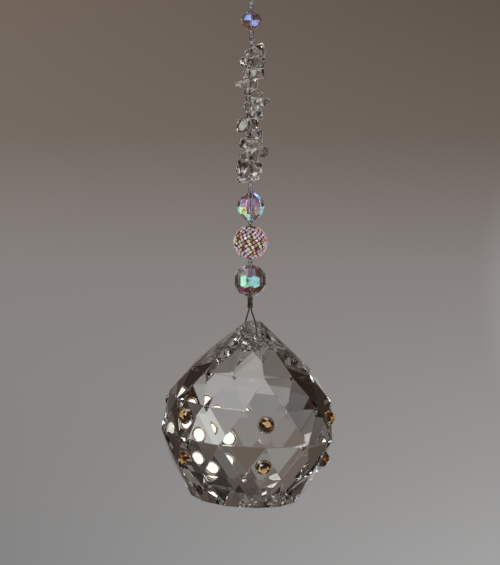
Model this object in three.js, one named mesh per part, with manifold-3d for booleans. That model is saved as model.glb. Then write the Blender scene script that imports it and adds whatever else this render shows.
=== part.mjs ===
// A crystal suncatcher: a faceted glass ball with glued rhinestones, hung on a beaded wire.
// Units are millimetres, +Z is up, -Y is the front and +X is the right-hand side.
// The origin is the point under the top of the hanging loop where a hook bears.
import * as THREE from "three";
import { ConvexGeometry } from "three/addons/geometries/ConvexGeometry.js";
import { mergeVertices } from "three/addons/utils/BufferGeometryUtils.js";
import Module from "manifold-3d";

const wasm = await Module();
wasm.setup();

// ---- driving dimensions ----

const BALL_DROP = 120; // from the bearing point down to the ball's widest level
const BALL_LEAN = THREE.MathUtils.degToRad(3); // the ball hangs askew on its wire, tip to the right
const BALL_TILT = THREE.MathUtils.degToRad(3); // and its tip a little to the front
const BALL_TURN = THREE.MathUtils.degToRad(11.7); // of a column of stones, to the right of the front
const HOLE_OFFSET = { right: 0.85, front: 1.1 }; // of the middle of the drilled hole, from the strand
const FOLD = 6; // columns of stones, and vertices in the ball's small rings

// The rings of facet corners, from the tip down: height over the widest level, corner radius,
// how many corners there are for each column, and the turn in steps of a twelfth of a turn.
const BALL_RINGS = [
  { name: "tip", height: 24.2, radius: 1.9, perColumn: 1, turn: 0 },
  { name: "neck", height: 21.9, radius: 4.3, perColumn: 1, turn: 1 },
  { name: "shoulder", height: 18.2, radius: 8.9, perColumn: 1, turn: 0 },
  { name: "crown", height: 13.2, radius: 14.3, perColumn: 2, turn: 0 },
  { name: "upper", height: 6.4, radius: 19.1, perColumn: 2, turn: 0.5 },
  { name: "belt", height: -1.7, radius: 20.8, perColumn: 2, turn: 0 },
  { name: "lower", height: -9.8, radius: 17.8, perColumn: 2, turn: 0.5 },
  { name: "foot", height: -17.6, radius: 12.8, perColumn: 2, turn: 0 },
  { name: "base", height: -19.3, radius: 5.5, perColumn: 1, turn: 1 },
];

const HOLE_HEIGHT = 21; // of the ball's drilled hole, over the widest level
const HOLE_RADIUS = 1;
const HOLE_SIDES = 20;

const STONE_RADIUS = 1.8;
const STONE_DROP = { upper: 0.38, lower: -0.6 }; // how far a stone is glued under its facet's middle
const STONE_HEIGHT = 1.35;
const STONE_GIRDLE = 0.3; // height of the upright rim under the facets
const STONE_SHOULDER = { height: 1, radius: 1.37 }; // of the ring where its two rows of facets meet
const STONE_TABLE = 0.9; // radius of the flat top
const STONE_SIDES = 12;
const GLUE_GAP = 0.2; // the glue between a facet and the flat back of its stone

const WIRE_RADIUS = 0.18;
const WIRE_SIDES = 8;
const WIRE_STEP = 0.5; // length of wire between two cross-sections where it bends
const WIRE_PAIR = 0.22; // how far each of two wires lies from the middle of a crimp
// Where a folded end lies along the strand, from the far end of its crimps: it starts and bends
// aside beyond them, and its tail ends inside them.
const WIRE_FOLD = { start: 2.2, bend: 1.4, aside: 0.1, tail: 0.3 };
const STRAND_JOIN = 1.8; // how far beyond the crimps the straight wire takes over
// The wire's course on each side of the tip, from under the crimps to inside the drilled hole: its
// distance from the ball's axis, its height over the widest level, and how much further left than
// the hole it lies on the side behind.
const BALL_LEGS = [
  { out: 2.9, height: 24.3, stray: 1 },
  { out: 4.75, height: 22.4, stray: 0.9 },
  { out: 5.05, height: 21.95, stray: 0.6 },
  { out: 4.7, height: 21.56, stray: 0.2 },
  { out: 3.9, height: 21.5, stray: 0 },
  { out: 1.5, height: 21.5, stray: 0 },
];
const WIRE_ASIDE = 0.35; // how far left of the drilled hole's middle it lies
const CRIMP = { bore: 0.46, radius: 0.63, height: 1.25, squareness: 5, sides: 12 };
const SEED = { bore: 0.32, radius: 0.66, height: 1.15, squareness: 2.4, sides: 10 };
const PIECE_GAP = 0.05; // between neighbours on the wire
const RING_PROFILE_POINTS = 8;

const CRIMP_START = 27.3; // height of the first crimp over the ball's widest level
const LOOP_RADIUS = 4.9; // of the hanging loop, to the middle of its wire
const LOOP_START = THREE.MathUtils.degToRad(-36); // where its round begins, from the right-hand side
const LOOP_STEPS = 12;
const MERGE_DISTANCE = 1e-4; // corners nearer than this are one corner

// The faceted beads: width over the facets, height, facets in a ring, the bore's radius, and the
// rings of facets by latitude in degrees, with their turn in facets from the front.
const LARGE_BEAD = {
  width: 7.25,
  height: 7.6,
  fold: 10,
  bore: 0.5,
  rings: [
    { latitude: 0, turn: 0.5 },
    { latitude: 36, turn: 0 },
    { latitude: 64, turn: 0.5 },
  ],
};
const MIDDLE_BEAD = {
  width: 5.95,
  height: 6.4,
  fold: 10,
  bore: 0.45,
  rings: [
    { latitude: 18, turn: 0 },
    { latitude: 50, turn: 0.5 },
  ],
};
const SMALL_BEAD = {
  width: 4.5,
  height: 4.3,
  fold: 8,
  bore: 0.4,
  rings: [
    { latitude: 18, turn: 0.5 },
    { latitude: 50, turn: 0 },
  ],
};
const PAVE_BALL = { width: 8.3, height: 8, detail: 4, bore: 0.6 };
const BEAD_BORE_SIDES = 10;

const CHIP_BORE = 0.36;
const CHIP_BORE_SIDES = 8;
const CHIP_FACETS = 15;
const CHIP_ROUGHNESS = 0.2; // how much a facet's distance from the middle varies
const CHIP_BULGE = 1.6; // half height of its ellipsoid, in thicknesses at the wire
const CHIP_SHIFT = 0.3; // how far front or back its middle may be, in depths
const CHIP_CROWN = 0.86; // sine of the latitude of its highest facet
const CHIP_TURN = 2.1; // how far each chip's facets are turned from the last one's
const CHIP_DRILL = 6; // length of its drill, in thicknesses
// The quartz chips from the bottom up: thickness at the wire, reach to the left and right of the
// wire, depth front to back, and the slope of the seam above it, in degrees, up to the right.
const CHIPS = [
  { thick: 1.45, left: 3.6, right: 2.2, depth: 4.4, slope: 6 },
  { thick: 3.3, left: 3.4, right: 3.1, depth: 5.6, slope: -8 },
  { thick: 1.5, left: 3.0, right: 2.0, depth: 4.6, slope: -12 },
  { thick: 1.6, left: 1.5, right: 4.3, depth: 4.8, slope: 4 },
  { thick: 2.1, left: 2.9, right: 3.1, depth: 6.0, slope: -5 },
  { thick: 1.9, left: 1.6, right: 2.9, depth: 4.4, slope: 8 },
  { thick: 2.8, left: 3.4, right: 1.7, depth: 5.0, slope: -2 },
  { thick: 1.6, left: 1.3, right: 2.8, depth: 4.2, slope: 5 },
  { thick: 2.2, left: 1.8, right: 2.4, depth: 5.4, slope: -18 },
  { thick: 1.6, left: 1.6, right: 4.7, depth: 4.4, slope: -6 },
  { thick: 1.6, left: 1.8, right: 2.9, depth: 5.2, slope: -5 },
  { thick: 2.1, left: 4.2, right: 1.9, depth: 4.8, slope: 4 },
  { thick: 2.9, left: 1.6, right: 2.9, depth: 4.6, slope: -4 },
  { thick: 2.7, left: 2.3, right: 3.5, depth: 5.6, slope: 6 },
  { thick: 2.0, left: 2.2, right: 3.8, depth: 4.8, slope: 26 },
];
const CHIP_FIRST_SLOPE = 10; // of the lowest chip's underside, in degrees
const CHIP_SIDE_SLOPE = 7; // the most that a seam slopes front to back, in degrees

// ---- materials ----

const finish = (color, roughness, metalness) =>
  new THREE.MeshStandardMaterial({ color, roughness, metalness });

const MATERIALS = {
  crystal: finish("#e6ebec", 0.03, 0),
  stone: finish("#c87a22", 0.12, 0.2),
  wire: finish("#8a8672", 0.35, 1),
  crimp: finish("#b3aea4", 0.25, 1),
  aurora: finish("#8f9f95", 0.05, 0.3),
  pave: finish("#d9b3a8", 0.25, 0.3),
  quartz: finish("#cfc9c2", 0.15, 0),
  seed: finish("#b9b4c4", 0.2, 0.4),
};

// ---- solids ----

/** A closed geometry as a solid that can be joined and cut. */
function solidOf(geometry) {
  const bare = geometry.clone();
  bare.deleteAttribute("normal");
  bare.deleteAttribute("uv");
  const merged = mergeVertices(bare, MERGE_DISTANCE);
  return new wasm.Manifold(
    new wasm.Mesh({
      numProp: 3,
      vertProperties: merged.attributes.position.array,
      triVerts: new Uint32Array(merged.index.array),
    }),
  );
}

/** A solid turned back into a geometry. */
function geometryOf(solid) {
  const { vertProperties, triVerts } = solid.getMesh();
  const geometry = new THREE.BufferGeometry();
  geometry.setAttribute("position", new THREE.BufferAttribute(vertProperties, 3));
  geometry.setIndex(new THREE.BufferAttribute(triVerts, 1));
  geometry.computeVertexNormals();
  return geometry;
}

/** Adds one named piece to a group and gives it back. */
function addPiece(group, name, geometry, material) {
  const mesh = new THREE.Mesh(geometry, material);
  mesh.name = name;
  group.add(mesh);
  return mesh;
}

/** A number from 0 to 1 that looks random and is the same each time. */
function scatter(seed) {
  const wave = Math.sin(seed * 12.9898) * 43758.5453;
  return wave - Math.floor(wave);
}

/** A drill of a given radius along the wire, as long as it needs to be. */
function wireDrill(radius, sides, length) {
  return solidOf(new THREE.CylinderGeometry(radius, radius, length, sides).rotateX(Math.PI / 2));
}

/** A ring turned about the wire, from a rounded-square profile: seed beads and crimps. */
function ringGeometry({ bore, radius, height, squareness, sides }) {
  const power = 2 / squareness;
  const profile = [];
  for (let i = 0; i <= RING_PROFILE_POINTS; i += 1) {
    const angle = (((i % RING_PROFILE_POINTS) - 0.5) / RING_PROFILE_POINTS) * 2 * Math.PI;
    const out = Math.sign(Math.cos(angle)) * Math.abs(Math.cos(angle)) ** power;
    const up = Math.sign(Math.sin(angle)) * Math.abs(Math.sin(angle)) ** power;
    const x = (bore + radius) / 2 + (out * (radius - bore)) / 2;
    profile.push(new THREE.Vector2(x, (up * height) / 2));
  }
  return new THREE.LatheGeometry(profile, sides).rotateX(Math.PI / 2);
}

// ---- the faceted ball ----

/** One corner of a ball ring: column 0 is the one nearest the front. */
function ballCorner(ring, column) {
  const azimuth = BALL_TURN + ((column + ring.turn / 2) / FOLD) * 2 * Math.PI;
  return new THREE.Vector3(
    ring.radius * Math.sin(azimuth),
    -ring.radius * Math.cos(azimuth),
    ring.height,
  );
}

/** The flat-faceted glass ball with its hole drilled from front to back under the tip. */
function ballGeometry() {
  const corners = [];
  for (const ring of BALL_RINGS) {
    for (let i = 0; i < FOLD * ring.perColumn; i += 1) {
      corners.push(ballCorner(ring, i / ring.perColumn));
    }
  }
  const widest = Math.max(...BALL_RINGS.map((ring) => ring.radius));
  const drill = new THREE.CylinderGeometry(HOLE_RADIUS, HOLE_RADIUS, widest, HOLE_SIDES)
    .rotateZ(BALL_TURN)
    .translate(0, 0, HOLE_HEIGHT);
  return geometryOf(solidOf(new ConvexGeometry(corners)).subtract(solidOf(drill)));
}

/** A flat-backed stone, its back on z = 0: an upright girdle, sloping facets and a small table. */
function stoneGeometry() {
  const rings = [
    { height: 0, radius: STONE_RADIUS, sides: STONE_SIDES, turn: 0 },
    { height: STONE_GIRDLE, radius: STONE_RADIUS, sides: STONE_SIDES, turn: 0 },
    { ...STONE_SHOULDER, sides: STONE_SIDES / 2, turn: 0.5 },
    { height: STONE_HEIGHT, radius: STONE_TABLE, sides: STONE_SIDES / 2, turn: 0 },
  ];
  const corners = [];
  for (const { height, radius, sides, turn } of rings) {
    for (let i = 0; i < sides; i += 1) {
      const angle = ((i + turn) / sides) * 2 * Math.PI;
      corners.push(new THREE.Vector3(radius * Math.cos(angle), radius * Math.sin(angle), height));
    }
  }
  return new ConvexGeometry(corners);
}

/** Seats one stone under the middle of the facet between three corners of the ball. */
function addStone(group, name, corners, drop) {
  const facet = new THREE.Triangle(...corners);
  const outward = facet.getNormal(new THREE.Vector3());
  const middle = facet.getMidpoint(new THREE.Vector3());
  if (outward.dot(middle) < 0) outward.negate();
  const stone = addPiece(group, name, stoneGeometry(), MATERIALS.stone);
  const down = new THREE.Vector3(0, 0, -1).projectOnPlane(outward).normalize();
  stone.position.copy(middle).addScaledVector(outward, GLUE_GAP).addScaledVector(down, drop);
  stone.quaternion.setFromUnitVectors(new THREE.Vector3(0, 0, 1), outward);
}

/** The ball with its two rows of stones, leaning and tilting about its drilled hole. */
function makeBall() {
  const lean = new THREE.Group();
  lean.position.set(HOLE_OFFSET.right, -HOLE_OFFSET.front, HOLE_HEIGHT - BALL_DROP);
  lean.rotation.set(BALL_TILT, BALL_LEAN, 0, "YXZ");
  const ball = new THREE.Group();
  ball.position.z = -HOLE_HEIGHT;
  lean.add(ball);
  addPiece(ball, "crystal_ball", ballGeometry(), MATERIALS.crystal);

  const [upper, belt, lower] = ["upper", "belt", "lower"].map((name) =>
    BALL_RINGS.find((ring) => ring.name === name),
  );
  for (let column = 0; column < FOLD; column += 1) {
    const peak = ballCorner(belt, column);
    const rowOf = (ring) => [ballCorner(ring, column - 0.5), ballCorner(ring, column), peak];
    addStone(ball, `upper_stone_${column + 1}`, rowOf(upper), STONE_DROP.upper);
    addStone(ball, `lower_stone_${column + 1}`, rowOf(lower), STONE_DROP.lower);
  }
  lean.updateMatrixWorld(true);
  return { lean, ball };
}

// ---- beads ----

/** A box cut back by planes, each given by its outward direction and distance. */
function cutByPlanes(size, planes) {
  let solid = solidOf(new THREE.BoxGeometry(size, size, size));
  for (const { direction, distance } of planes) {
    solid = solid.trimByPlane(direction.clone().negate().toArray(), -distance);
  }
  return solid;
}

/** A plane of a bead that is a sphere stretched along the wire, touching it at a latitude. */
function beadPlane({ width, height }, latitude, azimuth) {
  const up = THREE.MathUtils.degToRad(latitude);
  const direction = new THREE.Vector3(
    Math.cos(up) * Math.sin(azimuth),
    -Math.cos(up) * Math.cos(azimuth),
    (Math.sin(up) * width) / height,
  );
  const length = direction.length();
  return { direction: direction.divideScalar(length), distance: width / 2 / length };
}

/** The two planes that cut a bead flat at the ends of its bore. */
const endPlanes = (height) =>
  [1, -1].map((z) => ({ direction: new THREE.Vector3(0, 0, z), distance: height / 2 }));

/** A cut glass bead: rings of flat facets, the same under and over its middle. */
function facetedBeadGeometry(bead) {
  const planes = endPlanes(bead.height);
  for (const { latitude, turn } of bead.rings) {
    for (const side of latitude ? [1, -1] : [1]) {
      for (let i = 0; i < bead.fold; i += 1) {
        const azimuth = ((i + turn) / bead.fold) * 2 * Math.PI;
        planes.push(beadPlane(bead, side * latitude, azimuth));
      }
    }
  }
  const drill = wireDrill(bead.bore, BEAD_BORE_SIDES, bead.width * 2);
  return geometryOf(cutByPlanes(bead.width * 2, planes).subtract(drill));
}

/** The round body of the bead that is covered in small stones, flat at the two ends of its bore. */
function paveGeometry({ width, height, detail, bore }) {
  const round = solidOf(new THREE.IcosahedronGeometry(width / 2, detail));
  const drill = wireDrill(bore, BEAD_BORE_SIDES, width * 2);
  return geometryOf(cutByPlanes(width * 2, endPlanes(height)).intersect(round).subtract(drill));
}

/** The plane of a seam between two chips, through the wire at the given height. */
function seamPlane(slope, seed, height, side) {
  const across = THREE.MathUtils.degToRad(slope);
  const along = THREE.MathUtils.degToRad(CHIP_SIDE_SLOPE * (2 * scatter(seed) - 1));
  const direction = new THREE.Vector3(-Math.tan(across), -Math.tan(along), 1).normalize();
  const distance = side * direction.z * height - PIECE_GAP / 2;
  return { direction: direction.multiplyScalar(side), distance };
}

/** A rough quartz chip around the wire: random facets about an ellipsoid, cut by its two seams. */
function chipGeometry(chip, index, below, above) {
  const half = new THREE.Vector3((chip.left + chip.right) / 2, chip.depth / 2, chip.thick * CHIP_BULGE);
  const middle = new THREE.Vector3(
    (chip.right - chip.left) / 2,
    (scatter(index + 0.5) - 0.5) * chip.depth * CHIP_SHIFT,
    (below.height + above.height) / 2,
  );
  const planes = [
    seamPlane(below.slope, index, below.height, -1),
    seamPlane(above.slope, index + 1, above.height, 1),
  ];
  const turn = Math.PI * (3 - Math.sqrt(5));
  for (let i = 0; i < CHIP_FACETS; i += 1) {
    const z = (1 - (2 * i + 1) / CHIP_FACETS) * CHIP_CROWN;
    const azimuth = i * turn + index * CHIP_TURN;
    const flat = Math.sqrt(1 - z * z);
    const direction = new THREE.Vector3(flat * Math.cos(azimuth), flat * Math.sin(azimuth), z);
    const reach = direction.clone().multiply(half).length();
    const rough = 1 - CHIP_ROUGHNESS * scatter(index * CHIP_FACETS + i);
    planes.push({ direction, distance: direction.dot(middle) + reach * rough });
  }
  const size = 2 * BALL_DROP;
  const drill = wireDrill(CHIP_BORE, CHIP_BORE_SIDES, chip.thick * CHIP_DRILL);
  return geometryOf(cutByPlanes(size, planes).subtract(drill.translate([0, 0, middle.z])));
}

// ---- the strand ----

/** Threads pieces on the wire from the given height up, and gives the height that it reaches. */
function threadPieces(group, start, pieces) {
  let height = start;
  for (const { name, geometry, material, tall } of pieces) {
    addPiece(group, name, geometry, material).position.z = height + tall / 2;
    height += tall + PIECE_GAP;
  }
  return height;
}

let seedCount = 0;

/** One or more seed beads, numbered on from the last. */
function seeds(count) {
  return Array.from({ length: count }, () => {
    seedCount += 1;
    const name = `seed_bead_${String(seedCount).padStart(2, "0")}`;
    return { name, geometry: ringGeometry(SEED), material: MATERIALS.seed, tall: SEED.height };
  });
}

/** A pair of crimp tubes. */
function crimps(place) {
  return ["lower", "upper"].map((row) => ({
    name: `${place}_crimp_${row}`,
    geometry: ringGeometry(CRIMP),
    material: MATERIALS.crimp,
    tall: CRIMP.height,
  }));
}

/** One named bead. */
const bead = (name, geometry, material, tall) => [{ name, geometry, material, tall }];

/** How far a sloping seam rises or falls under the rim of a seed bead. */
const seedRise = (slope) => SEED.radius * Math.tan(THREE.MathUtils.degToRad(slope)) + PIECE_GAP;

/** The stack of chips, with the seams between neighbours shared. */
function threadChips(group, start) {
  let below = { height: start + seedRise(CHIP_FIRST_SLOPE), slope: CHIP_FIRST_SLOPE };
  CHIPS.forEach((chip, index) => {
    const above = { height: below.height + chip.thick, slope: chip.slope };
    const name = `quartz_chip_${String(index + 1).padStart(2, "0")}`;
    addPiece(group, name, chipGeometry(chip, index, below, above), MATERIALS.quartz);
    below = above;
  });
  return below.height + seedRise(below.slope);
}

/** A round wire along a smooth curve through the given points. */
function wireSolid(points) {
  const route = new THREE.CatmullRomCurve3(points, false, "centripetal");
  const section = new THREE.Shape().absarc(0, 0, WIRE_RADIUS, 0, 2 * Math.PI);
  return solidOf(
    new THREE.ExtrudeGeometry(section, {
      steps: Math.round(route.getLength() / WIRE_STEP),
      curveSegments: WIRE_SIDES / 2,
      bevelEnabled: false,
      extrudePath: route,
    }),
  );
}

/** The wire's route where it folds back on itself inside a pair of crimps. */
function foldedRoute(near, far, loop) {
  const away = Math.sign(near - far);
  const at = (x, z) => new THREE.Vector3(x, 0, z);
  return [
    at(0, far - away * WIRE_FOLD.start),
    at(0, far - away * WIRE_FOLD.bend),
    at(WIRE_PAIR, far - away * WIRE_FOLD.aside),
    at(WIRE_PAIR, near),
    ...loop,
    at(-WIRE_PAIR, near),
    at(-WIRE_PAIR, far + away * WIRE_FOLD.tail),
  ];
}

/** The loop under the first crimps: down the front of the tip, through the ball and up behind. */
function ballLoop(ball) {
  const along = new THREE.Vector3(Math.sin(BALL_TURN), -Math.cos(BALL_TURN), 0);
  const pointAt = (side) => ({ out, height, stray }) => {
    const left = WIRE_ASIDE * Math.cos(BALL_TURN) + (side < 0 ? stray : 0);
    const point = along.clone().multiplyScalar(side * out);
    return ball.localToWorld(point.set(point.x - left, point.y, height));
  };
  return [...BALL_LEGS.map(pointAt(1)), ...BALL_LEGS.map(pointAt(-1)).reverse()];
}

/** The open round of the hanging loop. */
function hangingLoop() {
  const middle = WIRE_RADIUS - LOOP_RADIUS;
  const sweep = Math.PI - 2 * LOOP_START;
  return Array.from({ length: LOOP_STEPS + 1 }, (_, i) => {
    const angle = LOOP_START + (sweep * i) / LOOP_STEPS;
    return new THREE.Vector3(
      LOOP_RADIUS * Math.cos(angle),
      0,
      middle + LOOP_RADIUS * Math.sin(angle),
    );
  });
}

// ---- the whole suncatcher ----

const suncatcher = new THREE.Group();
const { lean, ball } = makeBall();
suncatcher.add(lean);

const firstCrimp = CRIMP_START - BALL_DROP;
const firstBead = threadPieces(suncatcher, firstCrimp, crimps("ball"));
const chipStart = threadPieces(suncatcher, firstBead, [
  ...bead("large_aurora_bead", facetedBeadGeometry(LARGE_BEAD), MATERIALS.aurora, LARGE_BEAD.height),
  ...seeds(1),
  ...bead("pave_ball", paveGeometry(PAVE_BALL), MATERIALS.pave, PAVE_BALL.height),
  ...seeds(1),
  ...bead(
    "middle_aurora_bead",
    facetedBeadGeometry(MIDDLE_BEAD),
    MATERIALS.aurora,
    MIDDLE_BEAD.height,
  ),
  ...seeds(2),
]);
const chipEnd = threadChips(suncatcher, chipStart);
const lastCrimp = threadPieces(suncatcher, chipEnd, [
  ...seeds(3),
  ...bead("small_aurora_bead", facetedBeadGeometry(SMALL_BEAD), MATERIALS.aurora, SMALL_BEAD.height),
  ...seeds(7),
]);
const loopStart = threadPieces(suncatcher, lastCrimp, crimps("loop"));

const lowerWire = wireSolid(foldedRoute(firstCrimp, firstBead, ballLoop(ball)));
const upperWire = wireSolid(foldedRoute(loopStart, lastCrimp, hangingLoop()));
const strandLow = firstBead + STRAND_JOIN;
const strandHigh = lastCrimp - STRAND_JOIN;
const strand = wireDrill(WIRE_RADIUS, WIRE_SIDES, strandHigh - strandLow).translate([
  0,
  0,
  (strandLow + strandHigh) / 2,
]);
addPiece(
  suncatcher,
  "hanging_wire",
  geometryOf(lowerWire.add(strand).add(upperWire)),
  MATERIALS.wire,
);

export default suncatcher;
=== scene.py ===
"""The looks of a crystal suncatcher: a cut glass ball with glued stones on a beaded wire."""
import logging
import math
from dataclasses import dataclass
from enum import Enum
from typing import Any, Sequence

import bmesh
import bpy
import numpy as np
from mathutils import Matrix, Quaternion, Vector


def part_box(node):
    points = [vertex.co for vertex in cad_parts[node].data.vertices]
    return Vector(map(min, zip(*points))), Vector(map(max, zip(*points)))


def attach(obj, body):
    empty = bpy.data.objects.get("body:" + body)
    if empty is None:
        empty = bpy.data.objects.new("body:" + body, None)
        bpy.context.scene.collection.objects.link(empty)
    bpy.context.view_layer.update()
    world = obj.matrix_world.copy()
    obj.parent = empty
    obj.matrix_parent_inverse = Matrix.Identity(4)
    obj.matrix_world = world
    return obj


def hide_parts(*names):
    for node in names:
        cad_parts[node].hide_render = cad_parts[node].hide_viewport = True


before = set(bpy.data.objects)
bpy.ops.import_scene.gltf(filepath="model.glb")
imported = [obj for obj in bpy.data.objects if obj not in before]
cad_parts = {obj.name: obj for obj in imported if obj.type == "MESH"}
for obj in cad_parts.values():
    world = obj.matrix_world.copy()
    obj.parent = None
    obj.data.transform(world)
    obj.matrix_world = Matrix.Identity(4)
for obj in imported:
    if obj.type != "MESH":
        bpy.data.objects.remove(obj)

LOG = logging.getLogger("suncatcher")
MM = 0.001
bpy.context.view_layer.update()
GOLDEN_TURN = math.pi * (3 - math.sqrt(5))
FLATNESS = math.radians(0.4)  # the least angle between two facets
SLIVER = 1e-12  # square metres: a smaller triangle counts for nothing
UNLIT = (0.0, 0.0, 0.0, 1)


class Slot(Enum):
    """The record's material slots."""

    CRYSTAL = "lead_crystal"
    STONE = "topaz_stone"
    WIRE = "beading_wire"
    CRIMP = "crimp_metal"
    AURORA = "aurora_glass"
    PAVE = "pave_body"
    SEED = "seed_glass"
    QUARTZ = "rock_crystal"


# ---------------------------------------------------------------- shader maths


class Num:
    """A number socket with the arithmetic that a finish needs."""

    def __init__(self, nodes: "Nodes", socket: bpy.types.NodeSocket) -> None:
        """Keeps the socket and the nodes that it belongs to."""
        self.nodes = nodes
        self.socket = socket

    def _math(self, operation: str, first: Any, second: Any) -> "Num":
        """One Math node on two numbers or sockets."""
        node = self.nodes.node("Math", {"operation": operation}, {0: first, 1: second})
        return Num(self.nodes, node.outputs[0])

    def __add__(self, other: Any) -> "Num":
        """self + other."""
        return self._math("ADD", self, other)

    __radd__ = __add__

    def __sub__(self, other: Any) -> "Num":
        """self - other."""
        return self._math("SUBTRACT", self, other)

    def __rsub__(self, other: Any) -> "Num":
        """other - self."""
        return self._math("SUBTRACT", other, self)

    def __mul__(self, other: Any) -> "Num":
        """self * other."""
        return self._math("MULTIPLY", self, other)

    __rmul__ = __mul__

    def __truediv__(self, other: Any) -> "Num":
        """self / other."""
        return self._math("DIVIDE", self, other)

    def __rtruediv__(self, other: Any) -> "Num":
        """other / self."""
        return self._math("DIVIDE", other, self)

    def between(self, low: float, high: float) -> "Num":
        """This number from 0 to 1, carried to the stretch from low to high."""
        return low + self * (high - low)

    def clear_of(self, low: float, high: float) -> "Num":
        """A smooth step of this number.

        Args:
            low: The number up to which the step is 0.
            high: The number from which it is 1.

        Returns:
            The step, with a smooth rise between the two.
        """
        node = self.nodes.node(
            "MapRange",
            {"interpolation_type": "SMOOTHSTEP"},
            {"Value": self, "From Min": low, "From Max": high},
        )
        return Num(self.nodes, node.outputs["Result"])


class Nodes:
    """A node tree, filled a node at a time."""

    def __init__(self, tree: bpy.types.NodeTree) -> None:
        """Keeps the tree."""
        self.tree = tree

    def feed(self, target: bpy.types.NodeSocket, value: Any) -> None:
        """Links a Num or an output socket to an input, or sets a number or colour on it.

        Args:
            target: The input socket.
            value: What it gets.
        """
        source = value.socket if isinstance(value, Num) else value
        if isinstance(source, bpy.types.NodeSocket):
            self.tree.links.new(source, target)
        else:
            target.default_value = source

    def node(self, kind: str, settings: dict[str, Any], inputs: dict[Any, Any]) -> bpy.types.Node:
        """Adds a node.

        Args:
            kind: The node's type, without the leading ShaderNode.
            settings: Its properties, and "stops" for a colour ramp, as (place, colour) pairs.
            inputs: A number, colour, Num or output socket for each of its inputs, by name or number.

        Returns:
            The node.
        """
        node = self.tree.nodes.new("ShaderNode" + kind)
        for key, value in settings.items():
            if key == "stops":
                ramp = node.color_ramp
                for place, _ in value[2:]:
                    ramp.elements.new(place)
                for element, (place, colour) in zip(ramp.elements, value):
                    element.position = place
                    element.color = (*colour, 1)
            else:
                setattr(node, key, value)
        for key, value in inputs.items():
            self.feed(node.inputs[key], value)
        return node

    def place(self) -> bpy.types.NodeSocket:
        """The point on the piece, in object coordinates."""
        return self.node("TexCoord", {}, {}).outputs["Object"]

    def axes(self, vector: bpy.types.NodeSocket) -> tuple[Num, Num, Num]:
        """The X, Y and Z of a vector."""
        parts = self.node("SeparateXYZ", {}, {0: vector})
        return tuple(Num(self, parts.outputs[axis]) for axis in "XYZ")

    def noise(self, per_mm: float, detail: float = 2.0, warp: float = 0.0) -> Num:
        """Smooth noise over the piece.

        Args:
            per_mm: How many times it turns over in a millimetre.
            detail: How many finer layers it has.
            warp: How much it is bent by itself.

        Returns:
            The noise, from 0 to 1.
        """
        node = self.node(
            "TexNoise",
            {},
            {"Vector": self.place(), "Scale": per_mm / MM, "Detail": detail, "Distortion": warp},
        )
        return Num(self, node.outputs[0])

    def facet_value(self, name: str) -> Num:
        """A number that the mesh holds for each face."""
        node = self.node("Attribute", {"attribute_type": "GEOMETRY", "attribute_name": name}, {})
        return Num(self, node.outputs["Fac"])

    def ramp(self, value: Num, stops: Sequence[tuple[float, tuple]]) -> bpy.types.NodeSocket:
        """The colour that a number picks from a ramp of (place, colour) stops."""
        return self.node("ValToRGB", {"stops": stops}, {0: value}).outputs["Color"]

    def mix(self, share: Any, first: Any, second: Any) -> bpy.types.NodeSocket:
        """Two colours mixed by a share from 0, for the first, to 1."""
        node = self.node("Mix", {"data_type": "RGBA"}, {0: share, 6: first, 7: second})
        return node.outputs[2]

    def bump(self, height: Num, depth: float) -> bpy.types.NodeSocket:
        """A normal from a height map whose relief is depth metres."""
        return self.node("Bump", {}, {"Height": height, "Distance": depth}).outputs["Normal"]


class Paint(Nodes):
    """The nodes of one material, round its one Principled shader."""

    sockets = {
        "colour": "Base Color",
        "metal": "Metallic",
        "roughness": "Roughness",
        "ior": "IOR",
        "clearness": "Transmission Weight",
        "film": "Thin Film Thickness",
        "film_ior": "Thin Film IOR",
        "coat": "Coat Weight",
        "glow": "Emission Color",
        "glow_strength": "Emission Strength",
        "normal": "Normal",
    }

    def __init__(self, name: str) -> None:
        """Starts a material with its shader and its output.

        Args:
            name: The material's name.
        """
        self.material = bpy.data.materials.new(name)
        self.material.use_nodes = True
        super().__init__(self.material.node_tree)
        self.tree.nodes.clear()
        self.shader = self.node("BsdfPrincipled", {}, {})
        self.node("OutputMaterial", {}, {"Surface": self.shader.outputs[0]})

    def finish(self, **values: Any) -> bpy.types.Material:
        """Sets the shader's sockets.

        Args:
            **values: What each socket gets, by its short name.

        Returns:
            The material.
        """
        for key, value in values.items():
            self.feed(self.shader.inputs[self.sockets[key]], value)
        return self.material


# ---------------------------------------------------------------- finishes


@dataclass(frozen=True)
class LeadCrystal:
    """Polished lead glass, clear with the faintest warmth, and soft polishing marks."""

    ior: float = 1.545
    clear: tuple = (0.985, 0.985, 0.975, 1)
    veil: tuple = (0.945, 0.93, 0.91, 1)
    clouds_per_mm: float = 0.09
    marks_per_mm: float = 1.6
    mark_warp: float = 0.4
    mark_depth: float = 0.0004 * MM
    veil_from: tuple = (0.35, 0.8)
    dull_from: tuple = (0.55, 0.95)
    dullest: float = 0.02

    def material(self) -> bpy.types.Material:
        """Clear glass whose tint and polish vary a little from place to place.

        Returns:
            The material.
        """
        paint = Paint("lead_crystal_glass")
        cloud = paint.noise(self.clouds_per_mm, 3.0)
        marks = paint.noise(self.marks_per_mm, 2.0, self.mark_warp)
        return paint.finish(
            colour=paint.mix(cloud.clear_of(*self.veil_from), self.clear, self.veil),
            roughness=cloud.clear_of(*self.dull_from) * self.dullest,
            ior=self.ior,
            clearness=1.0,
            normal=paint.bump(marks, self.mark_depth),
        )


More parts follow.
